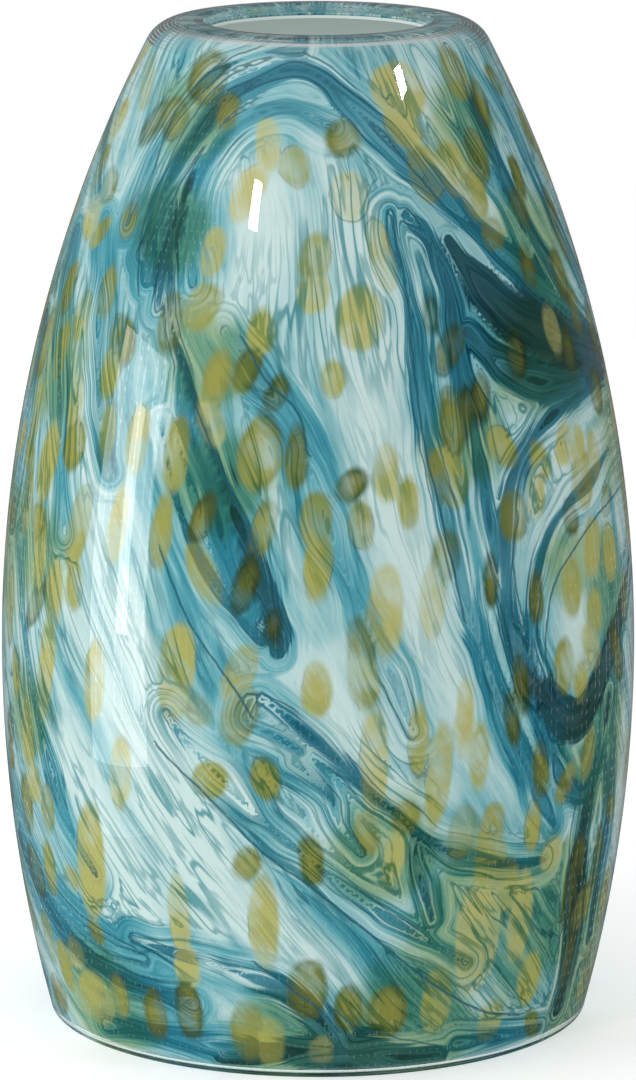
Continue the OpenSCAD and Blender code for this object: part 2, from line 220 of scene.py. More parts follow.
# Each trail: how dark it is from 0 to 1, then its line as (azimuth, height, half width in mm),
# azimuth in degrees from the front toward the right
TRAILS = [
    # the hook that leaves the left side, crosses the shoulder and falls to the right
    (0.55, [(-41, 236, 1.5), (-43, 250, 2.5), (-42, 262, 3), (-37, 276, 4.5), (-29, 288, 5),
            (-18, 294, 4.5), (-8, 297, 4), (2, 294, 4), (10, 287, 4), (18, 279, 4.5),
            (26, 269, 4.5), (33, 260, 4.5), (41, 250, 4.5), (49, 240, 5), (57, 231, 5),
            (66, 222, 4), (76, 214, 2)]),
    (0.35, [(-29, 236, 1), (-31, 250, 2.5), (-32, 264, 3.5), (-27, 277, 3.5), (-18, 284, 2.5),
            (-8, 286, 1.8), (4, 281, 1)]),
    (0.3, [(-52, 250, 0.6), (-50, 270, 1.2), (-44, 284, 1.5), (-34, 295, 1.5), (-22, 300, 1.5),
           (-6, 302, 1)]),
    (0.95, [(-44, 243, 0.6), (-43, 256, 1.5), (-41, 267, 1.8), (-37, 276, 1.2), (-32, 283, 0.6)]),
    (0.85, [(-37, 228, 1.2), (-37, 240, 2.2), (-36, 252, 2.6), (-35, 262, 2), (-32, 270, 1)]),
    # the tongue that hangs inside the hook
    (0.85, [(-37, 250, 1), (-33, 226, 2), (-29, 214, 2.5), (-25, 202, 2.5), (-20, 188, 2.2),
            (-16, 174, 2.5), (-12, 160, 3), (-9, 148, 3.5), (-7, 139, 3.5), (-7, 133, 2)]),
    (0.5, [(-29, 212, 2), (-27, 200, 4), (-24, 190, 5), (-20, 178, 4.5), (-18, 166, 4.5),
           (-15, 154, 4), (-12, 144, 3.5)]),
    (0.75, [(-32, 196, 0.6), (-28, 178, 1), (-24, 164, 1.5), (-20, 154, 1.8), (-15, 144, 1.8),
            (-10, 136, 1.5)]),
    # the curtain on the right
    (0.55, [(18, 257, 1), (18, 249, 2), (20, 236, 3), (21, 222, 3.5), (21, 206, 3), (22, 190, 3),
            (24, 174, 3.5), (26, 158, 3.5), (28, 144, 4), (31, 128, 4), (34, 114, 4),
            (38, 100, 4), (43, 86, 3.5), (49, 72, 2)]),
    (0.7, [(22, 256, 1.5), (27, 249, 3.5), (30, 236, 4.5), (30, 222, 4.5), (31, 206, 4),
           (32, 190, 3), (33, 174, 3), (34, 158, 2.5), (36, 142, 2), (38, 128, 2), (42, 112, 2.5),
           (46, 98, 3), (50, 88, 2)]),
    (0.95, [(32, 248, 1.5), (37, 238, 5), (43, 229, 8), (50, 222, 10), (58, 217, 11),
            (66, 211, 11), (76, 206, 10), (86, 204, 6), (94, 202, 2)]),
    (0.75, [(33, 222, 4), (40, 212, 6), (50, 205, 7), (60, 203, 7), (72, 202, 6), (84, 202, 3)]),
    # the loop on the right, the band inside it and the curl below
    (0.8, [(84, 200, 2), (72, 199, 3), (60, 197, 3.5), (52, 194, 3.5), (45, 188, 4), (40, 180, 4.5),
           (37, 168, 4.5), (36, 156, 4), (36, 144, 3.5), (37, 134, 4), (40, 124, 5)]),
    (1.0, [(38, 134, 1.5), (40, 122, 4), (44, 114, 5.5), (49, 106, 6.5), (54, 103, 6.5),
           (58, 107, 5.5), (63, 115, 5), (68, 124, 4.5), (74, 134, 3.5), (82, 144, 2)]),
    (0.75, [(78, 180, 1.5), (70, 177, 2.5), (62, 172, 3), (54, 168, 3), (48, 162, 3), (44, 152, 3),
            (42, 140, 2.5), (42, 128, 2.5), (44, 118, 2)]),
    (0.7, [(47, 97, 1.5), (49, 88, 2), (53, 82, 2.5), (57, 79, 3), (61, 84, 2.5), (64, 96, 2),
           (66, 108, 1)]),
    (0.85, [(60, 80, 2), (58, 66, 4), (58, 52, 5.5), (60, 38, 6), (61, 24, 6), (60, 10, 4)]),
    (0.6, [(66, 90, 2), (69, 70, 3), (68, 50, 3), (69, 30, 3)]),
    (0.75, [(52, 300, 1), (53, 288, 1.5), (54, 276, 2), (56, 262, 2.5), (59, 248, 3), (63, 236, 3),
            (69, 224, 3), (78, 214, 2)]),
    (0.25, [(36, 300, 1), (41, 286, 1.5), (46, 272, 2), (52, 256, 2.5), (57, 242, 2.5)]),
    (0.5, [(66, 298, 1), (69, 280, 2), (72, 262, 3), (76, 244, 3.5), (82, 228, 3)]),
    # diagonals across the belly
    (0.65, [(-10, 119, 1.5), (-5, 113, 3), (0, 106, 3.5), (5, 98, 3), (10, 89, 2.5), (14, 84, 2),
            (19, 76, 2.5), (25, 70, 2), (32, 66, 1.5), (40, 63, 1.2), (47, 62, 0.6)]),
    (1.0, [(13, 85, 0.6), (17, 78, 1), (18, 68, 1.1), (20, 58, 0.8), (22, 49, 0.3)]),
    (0.3, [(-28, 112, 1), (-24, 104, 1.5), (-18, 95, 2), (-10, 82, 2), (0, 68, 2), (10, 55, 2),
           (20, 44, 1.5), (30, 34, 1.2)]),
    (0.4, [(-12, 118, 2), (-13, 112, 3.5), (-8, 108, 3), (-3, 103, 2)]),
    (0.35, [(-4, 100, 1), (2, 90, 2), (4, 80, 1.5), (8, 72, 1)]),
    (0.2, [(-20, 224, 1.5), (-12, 212, 3), (-4, 196, 4), (0, 178, 4.5), (4, 160, 4), (9, 140, 4),
           (14, 122, 3.5), (17, 108, 2)]),
    # waves above the foot
    (0.65, [(-78, 57, 1.5), (-70, 47, 2.5), (-64, 40, 3), (-58, 34, 3.5), (-50, 29, 3.5),
            (-42, 26, 3.5), (-34, 24, 3), (-26, 22, 2)]),
    (0.35, [(-76, 60, 1), (-66, 50, 1.5), (-56, 42, 1.5), (-46, 36, 1.5), (-36, 34, 1.5)]),
    (0.75, [(-38, 40, 1), (-30, 38, 1.5), (-22, 36, 2), (-14, 33, 3), (-7, 29, 4), (-2, 23, 5),
            (2, 16, 6), (5, 9, 7)]),
    (0.8, [(-20, 6, 2), (-10, 8, 4), (0, 9, 7), (8, 8, 8), (16, 6, 6), (26, 5, 3)]),
    (0.55, [(-50, 8, 1.5), (-38, 10, 2.5), (-26, 9, 3), (-14, 9, 3)]),
    (0.5, [(30, 8, 2), (42, 7, 2.5), (54, 6, 2)]),
    # the left side
    (0.3, [(-76, 242, 1), (-71, 224, 1.5), (-66, 208, 1.5), (-61, 192, 1.5), (-57, 176, 1.2),
           (-54, 160, 1)]),
    (0.3, [(-72, 152, 1), (-67, 126, 1.5), (-62, 104, 1.8), (-57, 86, 1.8), (-52, 70, 1.5),
           (-46, 58, 1)]),
    (0.25, [(-62, 250, 1), (-56, 232, 1.5), (-52, 214, 1.5), (-48, 196, 1.5), (-44, 180, 1)]),
    (0.5, [(-82, 216, 2), (-79, 196, 3), (-78, 176, 3), (-80, 156, 2)]),
    # the far side
    (0.6, [(86, 150, 1), (92, 128, 3), (98, 104, 3.5), (104, 82, 3), (110, 60, 1)]),
    (0.8, [(102, 273, 1.5), (113, 248, 4), (122, 216, 5.5), (126, 180, 5), (123, 148, 4),
           (114, 118, 1.5)]),
    (0.4, [(108, 268, 1), (120, 240, 3), (130, 206, 4), (133, 176, 3), (130, 152, 1)]),
    (0.7, [(146, 285, 1.5), (160, 268, 4), (178, 256, 5.5), (196, 246, 6), (212, 228, 5),
           (220, 204, 4), (218, 184, 3), (213, 166, 1.5)]),
    (0.4, [(150, 270, 1), (168, 256, 3), (188, 240, 3), (203, 222, 2.5), (208, 204, 1)]),
    (0.75, [(136, 164, 1.5), (143, 140, 3.5), (156, 114, 4.5), (172, 102, 5), (188, 102, 4.5),
            (202, 112, 3), (210, 124, 1.5)]),
    (0.65, [(108, 66, 1.5), (126, 46, 4), (144, 34, 4.5), (162, 29, 2)]),
    (0.6, [(150, 34, 1.5), (170, 38, 4), (190, 32, 4.5), (206, 22, 4), (216, 13, 2)]),
    (0.8, [(230, 265, 1.5), (242, 234, 4), (253, 200, 5), (261, 166, 4.5), (263, 131, 1.5)]),
    (0.55, [(222, 117, 1.5), (238, 92, 4), (256, 72, 4.5), (272, 59, 1.5)]),
    (0.5, [(242, 293, 1.5), (258, 284, 3.5), (276, 272, 3.5), (290, 257, 1.5)]),
    (0.45, [(154, 232, 1), (158, 208, 2.5), (166, 186, 3), (176, 168, 1)]),
    (0.35, [(196, 160, 1), (204, 140, 2), (214, 118, 2), (220, 92, 1)]),
    (0.9, [(120, 14, 2), (134, 8, 5), (150, 7, 6), (164, 8, 3)]),
    (0.7, [(232, 26, 2), (248, 14, 4), (264, 9, 5), (280, 12, 2)]),
]
# Milky glass that swept between the trails: (azimuth, height, half width in mm)
WISPS = [
    [(-2, 272, 4), (4, 258, 8), (9, 240, 8), (13, 215, 8), (16, 190, 7), (18, 165, 6), (22, 140, 5),
     (27, 115, 3)],
    [(-20, 266, 6), (-14, 256, 9), (-16, 240, 7), (-22, 228, 4)],
    [(-61, 234, 1), (-55, 205, 3), (-49, 182, 3), (-42, 158, 1)],
    [(-36, 150, 3), (-32, 120, 8), (-28, 95, 10), (-22, 70, 9), (-20, 48, 5)],
    [(-24, 62, 3), (-12, 50, 6), (-2, 40, 5), (6, 32, 3)],
    [(-52, 100, 4), (-46, 80, 8), (-38, 60, 9), (-32, 44, 5)],
    [(78, 185, 2), (66, 184, 4), (54, 182, 5), (46, 174, 4), (42, 164, 2)],
    [(66, 160, 5), (57, 150, 7), (54, 135, 6), (56, 118, 3)],
    [(2, 130, 4), (6, 112, 6), (12, 96, 6), (22, 88, 4)],
    [(74, 100, 1), (76, 78, 4), (77, 54, 4), (76, 34, 1)],
    [(30, 290, 4), (38, 282, 6), (42, 264, 6), (48, 254, 4)],
    [(134, 238, 1), (142, 212, 4), (146, 188, 5), (144, 166, 1)],
    [(192, 220, 1), (190, 190, 6), (182, 160, 6), (172, 134, 1)],
    [(240, 134, 1), (233, 162, 5), (230, 188, 5), (232, 212, 1)],
    [(250, 48, 1), (264, 34, 4), (280, 24, 4), (292, 16, 1)],
    [(120, 100, 3), (128, 78, 7), (140, 60, 7), (150, 50, 3)],
    [(200, 84, 3), (212, 66, 6), (226, 52, 5), (238, 44, 2)],
]

# Near-black threads, drawn thin: (azimuth, height, half width in mm)
THREADS = [
    [(-30, 102, 0.2), (-20, 88, 0.45), (-10, 72, 0.45), (0, 60, 0.5), (10, 46, 0.5), (22, 30, 0.5),
     (34, 18, 0.4), (46, 13, 0.3)],
    [(20, 277, 0.2), (30, 262, 0.5), (40, 247, 0.7), (50, 234, 0.7), (58, 225, 0.4)],
    [(-48, 266, 0.2), (-47, 280, 0.4), (-42, 290, 0.4), (-34, 298, 0.2)],
    [(-43, 232, 0.2), (-46, 246, 0.5), (-45, 262, 0.5), (-40, 274, 0.3)],
    [(-34, 272, 0.2), (-38, 262, 0.5), (-39, 250, 0.5), (-38, 240, 0.3)],
    [(18, 256, 0.2), (19, 246, 0.5), (20, 230, 0.5), (20, 210, 0.5), (21, 190, 0.4), (24, 165, 0.4),
     (27, 140, 0.3)],
    [(52, 290, 0.2), (55, 276, 0.5), (60, 252, 0.6), (66, 233, 0.3)],
    [(80, 166, 0.2), (64, 162, 0.4), (52, 152, 0.5), (47, 143, 0.6), (45, 130, 0.6), (46, 118, 0.4),
     (51, 108, 0.2)],
    [(40, 168, 0.2), (38, 156, 0.4), (39, 142, 0.6), (41, 130, 0.5)],
    [(-70, 60, 0.2), (-60, 49, 0.5), (-50, 42, 0.5), (-38, 37, 0.2)],
    [(-12, 37, 0.2), (-6, 30, 0.8), (0, 23, 1.2), (4, 16, 0.8)],
    [(-30, 160, 0.2), (-24, 141, 0.4), (-17, 126, 0.5), (-12, 114, 0.3)],
    [(-29, 215, 0.2), (-24, 200, 0.5), (-18, 183, 0.6), (-13, 168, 0.6), (-9, 152, 0.5)],
    [(-16, 222, 0.2), (-10, 210, 0.4), (-4, 202, 0.4), (-2, 190, 0.3)],
    [(56, 84, 0.2), (54, 66, 0.5), (56, 46, 0.5), (54, 26, 0.4)],
    [(134, 120, 0.2), (144, 96, 0.5), (160, 80, 0.5), (182, 70, 0.2)],
    [(204, 160, 0.2), (212, 138, 0.5), (224, 128, 0.5), (236, 112, 0.2)],
    [(160, 236, 0.2), (172, 222, 0.4), (178, 200, 0.5), (176, 180, 0.2)],
    [(118, 262, 0.2), (130, 234, 0.5), (135, 206, 0.5), (136, 180, 0.2)],
    [(244, 224, 0.2), (254, 196, 0.5), (260, 170, 0.5), (268, 140, 0.2)],
    [(150, 292, 0.2), (168, 280, 0.5), (190, 270, 0.5), (208, 256, 0.2)],
]

# Crushed glass rolled into the gather, stretched as it was blown: (azimuth, height,
# width, length in mm, lean from upright in degrees, tone from straw 0 to olive 1)
CHIPS = [
    (26, 290, 13, 15, -40, 0.15), (-14, 276, 12, 7, 80, 0.05), (-18, 262, 8, 15, 20, 0.0),
    (-38, 293, 12, 13, 0, 0.8), (-62, 246, 5, 10, 40, 0.35), (-52, 251, 6, 9, 0, 0.5),
    (9, 228, 12, 16, 10, 0.1), (-1, 235, 8, 10, 0, 0.1), (15, 245, 6, 18, -10, 0.15),
    (8, 262, 9, 12, 0, 0.0), (3, 211, 6, 10, 0, 0.25), (-8, 207, 6, 11, 20, 0.7),
    (-14, 214, 6, 12, 20, 0.6), (-12, 224, 7, 12, 0, 0.3), (-11, 190, 11, 19, 10, 0.5),
    (-4, 190, 6, 17, 0, 0.6), (0, 157, 7, 18, 5, 0.3), (8, 170, 6, 12, 0, 0.45),
    (12, 144, 9, 22, 0, 0.1), (21, 146, 6, 17, 5, 0.1), (-28, 187, 6, 17, 0, 0.4),
    (-63, 178, 10, 22, 10, 0.25), (-50, 163, 8, 24, 10, 0.35), (-56, 140, 7, 19, 0, 0.2),
    (-62, 150, 6, 24, 0, 0.2), (-26, 124, 10, 26, 5, 0.25), (-58, 118, 8, 28, 10, 0.15),
    (18, 105, 5, 20, 0, 0.35), (22, 94, 6, 26, 5, 0.3), (27, 112, 5, 20, 0, 0.15),
    (30, 99, 5, 16, 0, 0.3), (10, 100, 7, 26, 0, 0.1), (33, 75, 7, 15, 10, 0.4),
    (27, 76, 7, 13, 10, 0.5), (32, 42, 13, 32, 0, 0.1), (42, 45, 8, 26, 0, 0.2),
    (43, 74, 5, 12, 0, 0.35), (14, 21, 11, 15, 0, 0.7), (6, 22, 8, 14, 0, 0.6),
    (-27, 20, 7, 16, 0, 0.9), (-52, 17, 13, 15, 0, 0.3), (-47, 62, 11, 34, 5, 0.2),
    (-35, 17, 7, 14, 0, 0.7), (38, 267, 9, 14, 0, 0.3), (43, 259, 9, 15, 0, 0.4),
    (48, 270, 7, 14, 0, 0.6), (50, 293, 8, 12, 0, 0.5), (57, 283, 6, 14, 10, 0.8),
    (55, 237, 6, 11, 0, 0.8), (63, 210, 7, 13, 0, 0.9), (27, 198, 7, 17, 0, 0.8),
    (25, 228, 5, 12, 0, 0.95), (30, 200, 5, 14, 10, 0.9), (47, 183, 6, 10, -20, 0.3),
    (60, 184, 6, 10, 10, 0.1), (45, 173, 6, 11, 0, 0.2), (55, 186, 6, 10, 30, 0.1),
    (66, 180, 6, 12, 0, 0.2), (61, 153, 8, 14, 10, 0.25), (53, 143, 8, 15, 0, 0.35),
    (43, 143, 5, 14, 0, 0.8), (60, 134, 7, 13, 0, 0.3), (50, 121, 7, 14, 0, 0.45),
    (55, 115, 6, 10, 0, 0.3), (68, 150, 8, 14, 0, 0.3), (58, 91, 7, 15, 10, 0.6),
    (-70, 228, 7, 14, 0, 0.5), (-76, 210, 8, 20, 0, 0.6), (-66, 210, 6, 14, 0, 0.4),
    (-72, 190, 7, 18, 0, 0.3), (-60, 222, 6, 12, 0, 0.3), (-53, 230, 6, 12, 0, 0.4),
    (-47, 208, 6, 12, 0, 0.3), (-45, 190, 5, 14, 0, 0.2), (-56, 196, 6, 16, 0, 0.3),
    (-50, 145, 6, 14, 0, 0.35), (-40, 165, 6, 20, 5, 0.1), (-44, 118, 7, 24, 5, 0.15),
    (-66, 95, 8, 24, 0, 0.2), (-38, 92, 7, 22, 5, 0.1), (-76, 130, 8, 24, 0, 0.35),
    (-70, 165, 7, 20, 0, 0.4), (-33, 225, 7, 15, 0, 0.7), (-26, 230, 8, 12, 30, 0.4),
    (-25, 246, 6, 12, 0, 0.2), (-21, 210, 6, 14, 10, 0.45), (-30, 165, 6, 18, 5, 0.4),
    (-22, 170, 6, 14, 20, 0.85), (-13, 152, 6, 16, 15, 0.95), (-8, 141, 5, 10, 10, 1.0),
    (-14, 126, 7, 14, 20, 0.35), (0, 122, 7, 14, 0, 0.25), (13, 184, 6, 14, 0, 0.1),
    (17, 176, 5, 12, 0, 0.3), (-10, 168, 5, 14, 10, 0.5), (8, 125, 7, 16, -10, 0.35),
    (38, 56, 6, 14, 0, 0.3), (14, 70, 6, 16, 10, 0.2), (-10, 50, 7, 24, 0, 0.15),
    (-27, 50, 6, 24, 0, 0.15), (-14, 14, 8, 14, 0, 0.5), (-44, 20, 6, 12, 0, 0.5),
    (-62, 24, 7, 14, 0, 0.4), (-68, 30, 7, 14, 0, 0.5), (-10, 12, 8, 12, 0, 0.3),
    (24, 24, 8, 18, 0, 0.35), (47, 24, 9, 16, 0, 0.3), (38, 14, 8, 12, 0, 0.2),
    (56, 50, 7, 24, 0, 0.9), (60, 26, 7, 20, 0, 0.85), (66, 56, 7, 20, 0, 0.7),
    (75, 40, 8, 18, 0, 0.4), (72, 14, 9, 12, 0, 0.4), (68, 232, 7, 14, 0, 0.8),
    (76, 250, 7, 14, 0, 0.7), (62, 262, 6, 14, 0, 0.7), (82, 272, 7, 12, 0, 0.5),
    (34, 204, 6, 14, 10, 1.0), (45, 214, 7, 12, 0, 1.0), (39, 118, 5, 18, -10, 0.85),
    (37, 108, 5, 16, -10, 0.8), (44, 92, 6, 16, -10, 0.6), (33, 150, 4, 14, 0, 0.95),
    (86, 262, 7, 14, 30, 0.3), (90, 236, 7, 16, 20, 0.6), (84, 160, 8, 20, 0, 0.5),
    (90, 120, 9, 20, -10, 0.2), (88, 46, 9, 18, 0, 0.2), (104, 212, 7, 16, 10, 0.3),
    (106, 96, 8, 22, -15, 0.7), (116, 186, 8, 16, 10, 0.9), (112, 24, 9, 14, 20, 0.2),
    (140, 258, 7, 14, -30, 0.6), (132, 92, 8, 18, -20, 0.15), (136, 200, 7, 16, 10, 0.15),
    (152, 150, 8, 20, 15, 0.6), (156, 206, 8, 18, 0, 0.1), (162, 60, 9, 16, 40, 0.25),
    (168, 164, 8, 20, 10, 0.1), (170, 232, 6, 14, 40, 0.7), (186, 270, 9, 12, 60, 0.2),
    (188, 12, 10, 12, 90, 0.2), (190, 62, 8, 14, 30, 0.3), (196, 132, 8, 20, 0, 0.7),
    (204, 196, 8, 18, -10, 0.2), (206, 74, 8, 18, 30, 0.6), (216, 256, 8, 13, 50, 0.15),
    (222, 52, 9, 16, 30, 0.2), (226, 240, 8, 18, -20, 0.7), (236, 20, 10, 14, 60, 0.3),
    (244, 250, 8, 15, -10, 0.1), (246, 176, 8, 22, -20, 0.8), (252, 112, 8, 18, -30, 0.6),
    (268, 100, 8, 20, -15, 0.2), (270, 244, 8, 14, 20, 0.2), (272, 214, 8, 18, 15, 0.6),
    (274, 150, 8, 22, 10, 0.15), (276, 44, 8, 16, 20, 0.3),
]
# Where the crushed glass melted into the gather and stained it olive: (azimuth, height,
# reach in mm)
STAINS = [
    (12, 70, 20), (30, 50, 26), (50, 42, 30), (64, 90, 24), (66, 140, 20), (54, 150, 16),
    (-23, 216, 17), (-20, 182, 17), (-38, 250, 14), (-40, 282, 14), (20, 14, 26), (-8, 10, 20),
    (70, 20, 30), (52, 212, 22), (62, 240, 20), (-68, 205, 20), (-62, 150, 18), (-52, 14, 22),
    (-66, 100, 16), (46, 280, 16), (30, 190, 14), (84, 180, 24), (100, 60, 30), (118, 200, 34),
    (150, 100, 34), (180, 240, 34), (200, 40, 34), (214, 150, 30), (244, 80, 30), (256, 220, 34),
    (276, 150, 26),
]
# More small chips fill the room between these, on the front and on the far side
FRONT_CHIPS = 95
BACK_CHIPS = 90
# Distances in mm past which nothing is painted, so they are not worked out
EDGE_LIMIT = 30.0
THREAD_LIMIT = 12.0
CHIP_LIMIT = 12.0

mesh = gather.data
count = len(mesh.vertices)
place = np.empty(count * 3)
mesh.vertices.foreach_get("co", place)
place = place.reshape(-1, 3) * 1000
girth = np.maximum(np.hypot(place[:, 0], place[:, 1]), 5.0)
azimuth = np.degrees(np.arctan2(place[:, 0], -place[:, 1]))
level = place[:, 2]


def offsets_from(az, z):
    """Distances in mm, round the wall and up it, from a point to every vertex."""
    turn = (azimuth - az + 180) % 360 - 180
    return np.radians(turn) * girth, level - z


def eased_line(points):
    """A smooth curve through the points, in short steps."""
    points = np.array(points, float)
    padded = np.vstack([2 * points[0] - points[1], points, 2 * points[-1] - points[-2]])
    steps = np.linspace(0, 1, 6, endpoint=False)[:, None]
    curve = []
    for a, b, c, d in zip(padded, padded[1:], padded[2:], padded[3:]):
        curve.append((2 * b + (c - a) * steps + (2 * a - 5 * b + 4 * c - d) * steps ** 2
                      + (3 * b - a - 3 * c + d) * steps ** 3) / 2)
    curve.append(points[-1][None, :])
    return np.vstack(curve)


def nearest_on_lines(lines, limit=EDGE_LIMIT):
    """For every vertex: distance to the nearest line's edge and to its middle, which side
    of it, and which line it is."""
    edge = np.full(count, limit)
    middle = np.full(count, limit)
    side = np.full(count, limit)
    which = np.zeros(count, int)
    for index, points in enumerate(lines):
        curve = eased_line(points)
        low = curve[:, 1].min() - limit
        high = curve[:, 1].max() + limit
        mid_az = (curve[:, 0].min() + curve[:, 0].max()) / 2
        span = (curve[:, 0].max() - curve[:, 0].min()) / 2 + 40
        turn = np.abs((azimuth - mid_az + 180) % 360 - 180)
        near = np.nonzero((level > low) & (level < high) & (turn < span))[0]
        for a, b in zip(curve, curve[1:]):
            ax, ay = (np.radians((azimuth[near] - a[0] + 180) % 360 - 180) * girth[near],
                      level[near] - a[1])
            run = np.radians(b[0] - a[0]) * girth[near]
            rise = b[1] - a[1]
            length2 = run * run + rise * rise + 1e-9
            t = np.clip((ax * run + ay * rise) / length2, 0, 1)
            px = ax - t * run
            py = ay - t * rise
            d = np.hypot(px, py)
            e = d - (a[2] + (b[2] - a[2]) * t)
            better = e < edge[near]
            hit = near[better]
            edge[hit] = e[better]
            which[hit] = index
            closer = d < middle[near]
            hit = near[closer]
            middle[hit] = d[closer]
            side[hit] = (np.sign(run * py - rise * px) * d)[closer]
    return edge, middle, side, which


trail_edge, trail_middle, _, trail_which = nearest_on_lines([t[1] for t in TRAILS])
trail_tone = np.array([t[0] for t in TRAILS])[trail_which]
wisp_edge, _, _, _ = nearest_on_lines(WISPS)
_, thread_reach, thread_side, _ = nearest_on_lines(THREADS, THREAD_LIMIT)


def chip_field(chips):
    """Distance in mm from each vertex to the nearest chip's edge, and that chip's tone."""
    edge = np.full(count, CHIP_LIMIT)
    tone = np.zeros(count)
    for az, z, width, length, lean, hue in chips:
        across, up = offsets_from(az, z)
        near = np.nonzero((np.abs(across) < length + CHIP_LIMIT)
                          & (np.abs(up) < length + CHIP_LIMIT))[0]
        angle = math.radians(lean)
        a = across[near] * math.cos(angle) - up[near] * math.sin(angle)
        b = across[near] * math.sin(angle) + up[near] * math.cos(angle)
        width, length = width * 1.2, length * 1.15
        q = (np.abs(2 * a / width) ** 2.2 + np.abs(2 * b / length) ** 2.2) ** (1 / 2.2)
        e = (q - 1) * (width + 0.3 * length) / 2.6
        better = e < edge[near]
        edge[near[better]] = e[better]
        tone[near[better]] = hue
    return edge, tone


def scatter_chips(wanted, from_az, to_az, least_gap, milk_gap):
    """Adds seeded chips where there is room, and away from the milky glass."""
    added = 0
    for _ in range(4000):
        if added == wanted:
            break
        az, z = rng.uniform(from_az, to_az), rng.uniform(8, 292)
        gap = min(math.hypot(math.radians((az - c[0] + 180) % 360 - 180) * 80, z - c[1])
                  for c in chips)
        if gap < least_gap or wisp_edge[np.argmin(np.hypot(*offsets_from(az, z)))] < milk_gap:
            continue
        chips.append((az, z, rng.uniform(5.5, 10), rng.uniform(8, 17), rng.uniform(-35, 35),
                      rng.choice((0.15, 0.35, 0.5, 0.65, 0.85))))
        added += 1


rng = random.Random(7)
chips = list(CHIPS)
scatter_chips(FRONT_CHIPS, -92, 92, 9.5, 1.0)
scatter_chips(BACK_CHIPS, 92, 268, 14.0, -20.0)
chip_edge, chip_tone = chip_field(chips)


stain = np.zeros(count)
for az, z, spread in STAINS:
    stain = np.maximum(stain, np.exp(-(np.hypot(*offsets_from(az, z)) / spread) ** 2))


def store(name, values):
    layer = mesh.attributes.new(name, "FLOAT", "POINT")
    layer.data.foreach_set("value", np.asarray(values, np.float32))


store("trail_edge", trail_edge)
store("trail_middle", trail_middle)
store("trail_tone", trail_tone)
store("wisp_edge", wisp_edge)
store("thread_side", thread_side)
store("thread_reach", thread_reach)
store("chip_edge", chip_edge)
store("chip_tone", chip_tone)
store("stain", stain)


def attribute(tree, name):
    return new_node(tree, "ShaderNodeAttribute", attribute_name=name).outputs["Fac"]


def noise(tree, vector, scale, detail=2.0, roughness=0.5, distortion=0.0):
    return new_node(tree, "ShaderNodeTexNoise",
                    {"Vector": vector, "Scale": scale, "Detail": detail,
                     "Roughness": roughness, "Distortion": distortion}).outputs["Fac"]


def colour_ramp(tree, factor, stops):
    node = new_node(tree, "ShaderNodeValToRGB", {0: factor})
    ramp = node.color_ramp
    while len(ramp.elements) < len(stops):
        ramp.elements.new(0.5)
    for element, (at, colour) in zip(ramp.elements, stops):
        element.position = at
        element.color = (*colour, 1)
    return node.outputs["Color"]


coloured, tree = new_material("coloured_gather")
coords = new_node(tree, "ShaderNodeTexCoord").outputs["Object"]
edge = attribute(tree, "trail_edge")
middle = attribute(tree, "trail_middle")
tone = attribute(tree, "trail_tone")
wisp = attribute(tree, "wisp_edge")
side = attribute(tree, "thread_side")
reach = attribute(tree, "thread_reach")
chip = attribute(tree, "chip_edge")
hue = attribute(tree, "chip_tone")

# slow and quick wander of every edge
slow = noise(tree, coords, 22.0, 2.0)
quick = noise(tree, coords, 140.0, 3.0)
slow_mm = math_node(tree, "MULTIPLY_ADD", slow, 16.0, -8.0)
quick_mm = math_node(tree, "MULTIPLY_ADD", quick, 3.0, -1.5)

# streaks that run along the nearest trail, broad ones and fine ones
place = new_node(tree, "ShaderNodeSeparateXYZ", {0: coords})
along = math_node(tree, "ADD", middle, slow_mm)


def streak_vector(across_scale, length_scale):
    return new_node(tree, "ShaderNodeCombineXYZ",
                    {0: math_node(tree, "MULTIPLY", along, across_scale),
                     1: math_node(tree, "MULTIPLY", place.outputs["X"], length_scale),
                     2: math_node(tree, "MULTIPLY", place.outputs["Z"], length_scale)}).outputs[0]


broad = noise(tree, streak_vector(0.16, 14.0), 1.0, 3.0, 0.55, 0.4)
fine = noise(tree, streak_vector(0.9, 18.0), 1.0, 4.0, 0.6)
# streaks away from the trails: steep on the shoulder, leaning more and more below the belly
below = math_node(tree, "MAXIMUM", math_node(tree, "SUBTRACT", 0.17, place.outputs["Z"]), 0.0)
turn = math_node(tree, "MULTIPLY_ADD", math_node(tree, "MULTIPLY", below, below), -28.0,
                 math_node(tree, "MULTIPLY", place.outputs["Z"], 2.6))
level_way = new_node(tree, "ShaderNodeVectorMath", {0: coords, 1: (1.0, 1.0, 0.0)},
                     operation="MULTIPLY").outputs[0]
outward = new_node(tree, "ShaderNodeVectorMath", {0: level_way}, operation="NORMALIZE").outputs[0]
turned = new_node(tree, "ShaderNodeVectorRotate", {"Vector": outward, "Angle": turn},
                  rotation_type="Z_AXIS").outputs[0]
upward = new_node(tree, "ShaderNodeCombineXYZ", {2: place.outputs["Z"]}).outputs[0]
leaning = new_node(tree, "ShaderNodeVectorMath", {0: turned, 1: (0.085, 0.085, 0.0), 2: upward},
                   operation="MULTIPLY_ADD").outputs[0]
tilted = new_node(tree, "ShaderNodeMapping", {"Vector": leaning, "Scale": (52.0, 52.0, 6.0)})
sway = new_node(tree, "ShaderNodeTexNoise", {"Vector": coords, "Scale": 10.0, "Detail": 2.0})
swayed = new_node(tree, "ShaderNodeVectorMath",
                  {0: sway.outputs["Color"], 1: (1.6, 1.6, 0.4), 2: tilted.outputs[0]},
                  operation="MULTIPLY_ADD").outputs[0]
drawn = noise(tree, swayed, 1.0, 5.0, 0.6)
drawn_fine = noise(tree, swayed, 3.4, 4.0, 0.6)
away = step_node(tree, middle, 5.0, 12.0)
streaks = new_node(tree, "ShaderNodeMix", {0: away, 2: broad, 3: drawn},
                   data_type="FLOAT").outputs[0]
